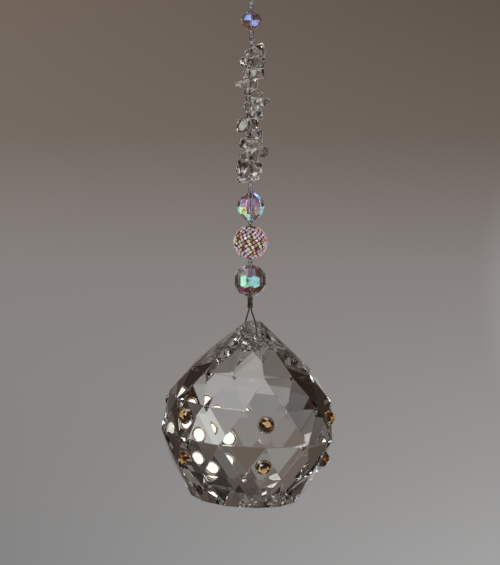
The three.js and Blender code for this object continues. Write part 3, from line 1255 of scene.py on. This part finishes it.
@dataclass
class AuroraBeads:
    """The three faceted beads with the shimmering coat."""

    edge: float = 0.05 * MM
    nearly: float = 0.975
    plain: tuple = (
        Film.CLEAR,
        Film.SMOKE,
        Film.CLEAR,
        Film.SMOKE,
        Film.VIOLET,
        Film.CLEAR,
        Film.SMOKE,
        Film.ROSE,
        Film.BLUE,
    )
    # The film on the facets that face the front, by azimuth to the right and by latitude, in degrees.
    # It sets each facet's tint and painted glint to the light and dark that the facet shows from the
    # front, so the tints are partly the coat's colour and partly painted light and shade.
    front: tuple = (
        ("large", (-18, 0, Film.MINT), (18, 0, Film.CYAN), (-54, 0, Film.SMOKE), (54, 0, Film.SMOKE),
         (-36, 36, Film.PEARL), (0, 36, Film.VIOLET), (36, 36, Film.CLEAR), (-36, -36, Film.ROSE),
         (0, -36, Film.SMOKE), (36, -36, Film.SMOKE), (-18, 64, Film.CLEAR), (18, 64, Film.CLEAR)),
        ("middle", (-36, -18, Film.LIME), (0, -18, Film.CLEAR), (36, -18, Film.PEARL),
         (-72, -18, Film.MINT), (72, -18, Film.CYAN), (-36, 18, Film.VIOLET), (0, 18, Film.VIOLET),
         (36, 18, Film.VIOLET), (-18, 50, Film.SMOKE), (18, 50, Film.SMOKE), (-18, -50, Film.MINT),
         (18, -50, Film.CLEAR)),
        ("small", (-23, 18, Film.BLUE), (23, 18, Film.SMOKE), (-68, 18, Film.SMOKE), (68, 18, Film.SMOKE),
         (-68, -18, Film.AMBER), (-23, -18, Film.SMOKE), (23, -18, Film.BLUE), (68, -18, Film.AMBER),
         (-45, -50, Film.AMBER), (0, -50, Film.SMOKE), (45, -50, Film.AMBER), (-45, 50, Film.SMOKE),
         (0, 50, Film.SMOKE), (45, 50, Film.SMOKE)),
    )

    def film_of(self, normals: np.ndarray, placed: Sequence[tuple], seed: int) -> np.ndarray:
        """The film on each facet: a scattered choice, but as placed on the facets at the front.

        Args:
            normals: The facets' unit normals.
            placed: Azimuth, latitude and film of each facet with its own.
            seed: A number that makes this bead's scatter its own.

        Returns:
            A place on the film's ramps for each facet.
        """
        choice = scatter(normals.round(2) @ np.array([1.7, 3.1, 5.3]) + seed) * len(self.plain)
        film = np.array([item.value for item in self.plain])[choice.astype(int)]
        azimuth, latitude = (np.radians([row[i] for row in placed]) for i in (0, 1))
        towards = np.column_stack(
            [np.cos(latitude) * np.sin(azimuth), -np.cos(latitude) * np.cos(azimuth), np.sin(latitude)]
        )
        nearness = normals @ towards.T
        chosen = np.array([row[2].value for row in placed])[nearness.argmax(1)]
        return np.where(nearness.max(1) > self.nearly, chosen, film)

    def build(self) -> None:
        """Replaces each bead with one whose facets carry their film and whose edges are ground."""
        for seed, (size, *placed) in enumerate(self.front):
            node = f"{size}_aurora_bead"
            mesh = cut_copy(node)
            face_numbers(mesh, "film", self.film_of(face_normals(mesh), placed, seed))
            coat = AuroraGlass(f"aurora_glass_{size}").material()
            piece = new_piece(f"{node}_cut", mesh, coat, [node])
            soften_edges(piece, self.edge)


@dataclass
class PaveBall:
    """The round bead covered in small stones."""

    node: str = "pave_ball"
    body_share: float = 0.925
    bore_share: float = 0.14
    body_rows: int = 40
    body_columns: int = 64
    stones: int = 235
    sides: int = 8
    stone_radius: float = 0.39 * MM
    stone_rise: float = 0.28 * MM
    # Of a stone's table, its girdle and its foot: radius and height, as shares of the two above.
    levels: tuple = ((0.62, 0.0), (1.0, -0.45), (0.45, -1.6))
    depth_share: float = 0.98
    bare_pole: float = 0.93
    unevenness: float = 1.6
    smallest: float = 0.86
    size_spread: float = 0.26

    def build(self) -> None:
        """Makes the resin body and sets the stones in it."""
        middle, radius, half = middle_and_half(self.node)
        body = self.body_mesh(middle, radius * self.body_share, half)
        new_piece("pave_ball_body", body, PaveClay().material(), [self.node])
        stones = self.stones_mesh(middle, radius, half)
        new_piece("pave_ball_stones", stones, PaveStone().material())

    def body_mesh(self, middle: np.ndarray, radius: float, half: float) -> bpy.types.Mesh:
        """A drilled ball: an arc from the bore's lower rim to its upper rim, cut flat at both
        ends, carried round the wire and closed through the bore.

        Args:
            middle: The ball's middle.
            radius: Its radius.
            half: Half of its height.

        Returns:
            The mesh.
        """
        end = math.asin(self.bore_share)
        polar = np.linspace(math.pi - end, end, self.body_rows)
        height = np.clip(radius * np.cos(polar), -half, half)
        profile = np.column_stack([radius * np.sin(polar), height])
        points, faces = turned_surface(profile, self.body_columns)
        return array_mesh("pave_body", points + middle, faces, True)

    def stone_shape(self) -> tuple[np.ndarray, np.ndarray]:
        """One small cut stone about the Z axis: three rings of corners, from the table down, with
        a fan over each end and two triangles for each side between two rings.

        Returns:
            Its points and its triangles.
        """
        angle = np.arange(self.sides) * 2 * math.pi / self.sides
        ring = np.column_stack([np.cos(angle), np.sin(angle)]) * self.stone_radius
        rings = [
            np.column_stack([ring * share, np.full(self.sides, height * self.stone_rise)])
            for share, height in self.levels
        ]
        step = np.arange(self.sides)
        after = (step + 1) % self.sides
        first, second, third = step[1:-1] * 0, step[1:-1], step[2:]
        faces = [
            np.column_stack([first, second, third]),
            np.column_stack([first, third, second]) + 2 * self.sides,
        ]
        for upper in (0, self.sides):
            lower = upper + self.sides
            faces.append(np.column_stack([lower + step, lower + after, upper + after]))
            faces.append(np.column_stack([lower + step, upper + after, upper + step]))
        return np.concatenate(rings), np.concatenate(faces)

    def stones_mesh(self, middle: np.ndarray, radius: float, half: float) -> bpy.types.Mesh:
        """The stones on a golden spiral over the ball: even steps of height, each with a golden
        turn, both a little scattered. Each stone is the one small shape along its own axes.

        Args:
            middle: The ball's middle.
            radius: Its radius.
            half: Half of its height.

        Returns:
            The mesh, with each stone's film.
        """
        shape, faces = self.stone_shape()
        index = np.arange(self.stones)
        stray = self.unevenness * (2 * scatter(index + 0.7) - 1)
        z = 1 - (2 * index + 1 + stray) / self.stones
        keep = np.abs(z * radius) < half * self.bare_pole
        flat = np.sqrt(1 - z * z)
        turn = index * GOLDEN_TURN + self.unevenness * 0.03 * (2 * scatter(index + 0.2) - 1)
        outward = np.column_stack([flat * np.cos(turn), flat * np.sin(turn), z])[keep]
        side = np.column_stack([-np.sin(turn), np.cos(turn), 0 * turn])[keep]
        axes = np.stack([side, np.cross(outward, side), outward], axis=1)
        size = self.smallest + self.size_spread * scatter(index[keep] + 0.9)
        points = np.einsum("kj,njx->nkx", shape, axes) * size[:, None, None]
        points += (outward * radius * self.depth_share)[:, None, :] + middle
        count = len(outward)
        first = np.arange(count) * len(shape)
        all_faces = (faces[None] + first[:, None, None]).reshape(-1, 3)
        mesh = array_mesh("pave_stones", points.reshape(-1, 3), all_faces, False)
        film = scatter(np.arange(count) + 0.37)
        face_numbers(mesh, "film", np.repeat(film, len(faces)))
        return mesh


@dataclass
class QuartzChips:
    """The stack of tumbled quartz chips."""

    count: int = 15
    bore: float = 0.36 * MM
    sharpness: float = 34.0
    rows: int = 40
    columns: int = 72
    ripple: float = 0.012
    rounds: int = 25

    def build(self) -> None:
        """Makes every chip inside the flat-faced solid that holds its place."""
        stone = RockCrystal().material()
        for number in range(1, self.count + 1):
            node = f"quartz_chip_{number:02d}"
            mesh = self.chip_mesh(node, number)
            new_piece(f"{node}_tumbled", mesh, stone, [node])

    def planes_from_middle(self, node: str) -> tuple[np.ndarray, np.ndarray, np.ndarray]:
        """A chip's flat faces, seen from the point of the wire half-way through it.

        Args:
            node: The chip's CAD node.

        Returns:
            The point, the faces' unit normals, and their distances from it. The faces of the bore
            are left out.
        """
        normals, offsets, _ = solid_planes(node)
        rise = normals[:, 2]
        lying = np.abs(rise) > 0.1
        level = offsets / np.where(rise == 0, 1, rise)
        top = level[lying & (rise > 0)].min()
        foot = level[lying & (rise < 0)].max()
        centre = np.array([0.0, 0.0, (top + foot) / 2])
        distance = offsets - normals @ centre
        keep = (distance > self.bore * 1.02) | lying
        return centre, normals[keep], distance[keep]

    def chip_mesh(self, node: str, number: int) -> bpy.types.Mesh:
        """A drilled chip with softened faces.

        The reach in a direction is (the sum over the faces of (normal . direction / distance) to
        the power p) to the power -1/p, which follows the flat faces and rounds every edge. Rows run
        from the bore's lower rim to its upper rim, and the grid closes on itself through the bore.

        Args:
            node: The chip's CAD node.
            number: Its place on the strand, which picks its ripples.

        Returns:
            The mesh.
        """
        centre, normals, distance = self.planes_from_middle(node)
        azimuth = np.arange(self.columns) * 2 * math.pi / self.columns

        def towards(polar: np.ndarray) -> np.ndarray:
            """The unit directions at each polar angle and azimuth."""
            flat = np.sin(polar)
            return np.stack([flat * np.cos(azimuth), flat * np.sin(azimuth), np.cos(polar)], axis=-1)

        def reach(polar: np.ndarray) -> np.ndarray:
            """The softened distance to the surface, with its ripples.

            Args:
                polar: The polar angle at each azimuth.

            Returns:
                The distance in each of those directions.
            """
            pull = np.clip(towards(polar) @ normals.T, 0, None) / distance
            wave = np.sin(3 * azimuth + 2.2 * polar + number)
            cross_wave = np.sin(5 * polar - 2 * azimuth + 1.7 * number)
            worn = 1 - self.ripple * (2 - wave - cross_wave)
            return (pull**self.sharpness).sum(-1) ** (-1 / self.sharpness) * worn

        # The rims of the bore, where the reach across the wire is the bore's radius.
        lower, upper = np.full(self.columns, math.pi - 0.1), np.full(self.columns, 0.1)
        for _ in range(self.rounds):
            lower = math.pi - np.arcsin(np.clip(self.bore / reach(lower), 0, 0.99))
            upper = np.arcsin(np.clip(self.bore / reach(upper), 0, 0.99))
        polar = lower + (upper - lower) * np.linspace(0, 1, self.rows)[:, None]
        points = (reach(polar)[..., None] * towards(polar)).reshape(-1, 3) + centre
        return array_mesh(node, points, wrapped_faces(self.rows, self.columns), True)


# ---------------------------------------------------------------- the studio


@dataclass(frozen=True)
class Softbox:
    """A square soft light that faces the object."""

    name: str
    azimuth: float  # degrees to the right of straight behind the object
    elevation: float  # degrees
    away: float  # metres from the object
    size: float  # metres
    radiance: float

    def build(self, target: Vector) -> None:
        """Sets the light up.

        Args:
            target: The point that it faces.
        """
        lamp = bpy.data.lights.new(self.name, "AREA")
        lamp.shape = "SQUARE"
        lamp.size = self.size
        lamp.energy = self.radiance * math.pi * self.size * self.size
        holder = bpy.data.objects.new(self.name, lamp)
        bpy.context.scene.collection.objects.link(holder)
        across, up = math.radians(self.azimuth), math.radians(self.elevation)
        flat = math.cos(up)
        towards = Vector((math.sin(across) * flat, math.cos(across) * flat, math.sin(up)))
        holder.location = target + towards * self.away
        holder.rotation_mode = "QUATERNION"
        holder.rotation_quaternion = (-towards).to_track_quat("-Z", "Y")
        holder.visible_camera = False


@dataclass
class Studio:
    """The floor, the backdrop, the lights and the camera."""

    aim: tuple = (-0.00005, 0.0, -0.0867)
    distance: float = 0.5
    pitch: float = math.radians(4.2)
    roll: float = math.radians(0.3)
    view_height: float = 0.1329
    sensor: float = 36.0
    floor_level: float = -0.5
    floor_half: float = 3.0
    backdrop_distance: float = 1.15
    backdrop_half: float = 0.75
    lit_point: tuple = (0.0, 0.0, -0.12)
    softboxes: tuple = (
        Softbox("key", -145, 30, 0.9, 0.34, 5.0),
        Softbox("fill", 130, 15, 1.0, 0.3, 3.0),
        Softbox("top", 20, 75, 0.8, 0.3, 3.0),
    )
    dusk: tuple = (0.020, 0.007, 0.002, 1)
    # The floor's painted shade in the room's wedges.
    painted_floor_shade: tuple = (0.05, 0.02, 0.008, 1)
    floor_shade: tuple = (0.70, 0.68, 0.66)
    floor_pale: tuple = (0.76, 0.75, 0.73)
    # The glow of the painted pool of light on the floor.
    painted_pool_glow: tuple = (0.245, 0.25, 0.25)
    # The room's dark wedges: where each starts and ends, by the square of across over along.
    wedge_starts: tuple = (0.2, 0.36)
    wedge_ends: tuple = (6, 25)
    # The painted pool of light on the floor: its middle and half of its width, as across over along, and
    # how far behind the object it starts.
    pool_turn: float = 0.10
    pool_half: float = 0.47
    pool_near: tuple = (0.37, 0.47)
    # The card's stretch of painted light, and the painted highlight on it: middle, half width and half
    # height.
    card_foot: float = -0.42
    card_rise: float = 1.04
    wing_from: tuple = (0.25, 0.8)
    painted_gleam: tuple = (0.56, 0.57, 0.55, 1)
    painted_gleam_middle: tuple = (0.43, -0.17)
    painted_gleam_half: tuple = (0.22, 0.20)
    # The room's light from straight down to straight up.
    room: tuple = (
        (0.0, (0.080, 0.066, 0.055)),
        (0.45, (0.080, 0.066, 0.055)),
        (0.50, (0.150, 0.138, 0.125)),
        (0.62, (0.095, 0.075, 0.060)),
        (1.0, (0.070, 0.054, 0.043)),
    )
    # How much brighter the painted light on the card is to the right at its foot, and how fast that fades
    # going up.
    side_light: float = 1.25
    side_fade: float = 5.0
    # The card's painted light from its foot to its top, in its middle and at its sides: pale at the foot,
    # falling evenly to a darker, warmer tone, with a bright painted strip above the view; the sides
    # darker, as painted shade.
    card: tuple = (
        (0.0, (0.30, 0.30, 0.30)),
        (0.25, (0.24, 0.22, 0.21)),
        (0.35, (0.16, 0.13, 0.11)),
        (0.48, (0.13, 0.10, 0.08)),
        (0.50, (0.20, 0.19, 0.18)),
        (0.60, (0.18, 0.17, 0.16)),
        (0.70, (0.10, 0.08, 0.07)),
        (1.0, (0.08, 0.07, 0.06)),
    )
    wings: tuple = (
        (0.0, (0.024, 0.010, 0.004)),
        (0.17, (0.032, 0.016, 0.008)),
        (0.29, (0.150, 0.138, 0.125)),
        (0.60, (0.100, 0.085, 0.075)),
        (1.0, (0.085, 0.070, 0.062)),
    )

    def camera(self) -> None:
        """A long lens that looks slightly down at the ball from a hand's reach away."""
        lens = bpy.data.cameras.new("camera")
        lens.sensor_width = self.sensor
        lens.lens = self.sensor * self.distance / self.view_height
        lens.clip_start, lens.clip_end = 0.01, 20
        eye = bpy.data.objects.new("camera", lens)
        bpy.context.scene.collection.objects.link(eye)
        forward = Vector((0, math.cos(self.pitch), -math.sin(self.pitch)))
        eye.location = Vector(self.aim) - forward * self.distance
        eye.rotation_mode = "QUATERNION"
        eye.rotation_quaternion = forward.to_track_quat("-Z", "Y") @ Quaternion((0, 0, 1), self.roll)
        bpy.context.scene.camera = eye

    def gloom(self, across: Num, along: Num) -> Num:
        """How dark the room is behind and to either side: the square of across over along picks
        the two wedges between 27 and 70 degrees from straight behind.

        Args:
            across: How far to the right a place lies.
            along: How far behind.

        Returns:
            A share from 0 to 1.
        """
        turn = across / along
        square = turn * turn
        started, ended = square.clear_of(*self.wedge_starts), square.clear_of(*self.wedge_ends)
        return started * (1 - ended) * along.clear_of(0.0, 0.1)

    def world(self) -> None:
        """A dim warm room all round: dark in the wedges below, and darker to the right."""
        world = bpy.data.worlds.new("room")
        bpy.context.scene.world = world
        world.use_nodes = True
        nodes = Nodes(world.node_tree)
        towards = nodes.node("TexCoord", {}, {}).outputs["Generated"]
        across, along, up = nodes.axes(towards)
        gloom = self.gloom(across, along)
        below = gloom * (1 - up.clear_of(-0.14, 0.0))
        right = gloom * across.clear_of(0.35, 0.75) * 0.6
        room = nodes.mix(right, nodes.ramp(up * 0.5 + 0.5, self.room), self.dusk)
        light = nodes.mix(below, room, self.dusk)
        nodes.feed(world.node_tree.nodes["Background"].inputs["Color"], light)

    def sheet(self, name: str, corners: Sequence[tuple], material: bpy.types.Material) -> None:
        """A flat staged sheet.

        Args:
            name: Its name.
            corners: Its four corners, in order round it.
            material: Its material.
        """
        mesh = bpy.data.meshes.new(name)
        mesh.from_pydata(corners, [], [(0, 1, 2, 3)])
        mesh.materials.append(material)
        sheet = bpy.data.objects.new(name, mesh)
        bpy.context.scene.collection.objects.link(sheet)

    def backdrop(self) -> None:
        """A card behind the object that shows only painted light: pale at the foot and warmer and darker
        at the top, its wings in painted shade, a painted highlight on it to the right, and painted uneven
        light."""
        paint = Paint("backdrop_card")
        across, _, height = paint.axes(paint.place())
        level = (height - self.card_foot) / self.card_rise
        spread = (across + 0.02) * (across + 0.02) * (1.2 - height * 2.0)
        edge = spread.clear_of(*self.wing_from)
        aside = (across - self.painted_gleam_middle[0]) / self.painted_gleam_half[0]
        above = (height - self.painted_gleam_middle[1]) / self.painted_gleam_half[1]
        # The painted highlight to the right.
        painted_gleam = 1 - (aside * aside + above * above).clear_of(0.2, 1.4)
        plain = paint.mix(edge, paint.ramp(level, self.card), paint.ramp(level, self.wings))
        glow = paint.mix(painted_gleam, plain, self.painted_gleam)
        near = paint.node("Clamp", {}, {"Value": across, "Min": -0.25, "Max": 0.25})
        gain = 1 + Num(paint, near.outputs[0]) * (self.side_light - level * self.side_fade)
        scaled = paint.node("VectorMath", {"operation": "SCALE"}, {0: glow, "Scale": gain})
        # The card takes no light: all that it shows is a painted glow.
        card = paint.finish(colour=UNLIT, roughness=1.0, glow=scaled.outputs[0], glow_strength=1.0)
        half, low, y = self.backdrop_half, self.floor_level, self.backdrop_distance
        corners = [(-half, y, low), (half, y, low), (half, y, half), (-half, y, half)]
        self.sheet("backdrop", corners, card)

    def floor(self) -> None:
        """A pale floor with painted shade in the room's wedges and a painted pool of light before the
        card.
        """
        paint = Paint("pale_floor")
        grain = paint.noise(0.02, 3.0)
        across, along, _ = paint.axes(paint.place())
        turn = (across / along - self.pool_turn) / self.pool_half
        pool = (1 - (turn * turn).clear_of(0.3, 1.0)) * along.clear_of(*self.pool_near)
        pale = paint.ramp(grain, [(0.3, self.floor_shade), (0.7, self.floor_pale)])
        boards = paint.finish(
            # Painted shade in the wedges, and the painted pool of light as a glow.
            colour=paint.mix(self.gloom(across, along), pale, self.painted_floor_shade),
            roughness=0.8,
            glow=paint.ramp(pool, [(0.0, UNLIT[:3]), (1.0, self.painted_pool_glow)]),
            glow_strength=1.0,
        )
        half, far, z = self.floor_half, self.backdrop_distance, self.floor_level
        corners = [(-half, -half, z), (half, -half, z), (half, far, z), (-half, far, z)]
        self.sheet("floor", corners, boards)

    def build(self) -> None:
        """Sets everything up."""
        self.camera()
        self.world()
        self.backdrop()
        self.floor()
        for softbox in self.softboxes:
            softbox.build(Vector(self.lit_point))
        scene = bpy.context.scene
        scene.view_settings.view_transform = "Standard"
        scene.cycles.max_bounces = 24
        scene.cycles.transmission_bounces = 24
        scene.cycles.glossy_bounces = 12
        scene.cycles.blur_glossy = 0.2


def main() -> None:
    """Builds the studio and every piece."""
    logging.basicConfig(level=logging.INFO, format="%(name)s: %(message)s")
    Studio().build()
    for part in (
        CrystalBall(),
        GluedStones(),
        Wire(),
        SeedBeads(),
        AuroraBeads(),
        PaveBall(),
        QuartzChips(),
    ):
        LOG.info("making %s", type(part).__name__)
        part.build()


if __name__ == "__main__":
    main()
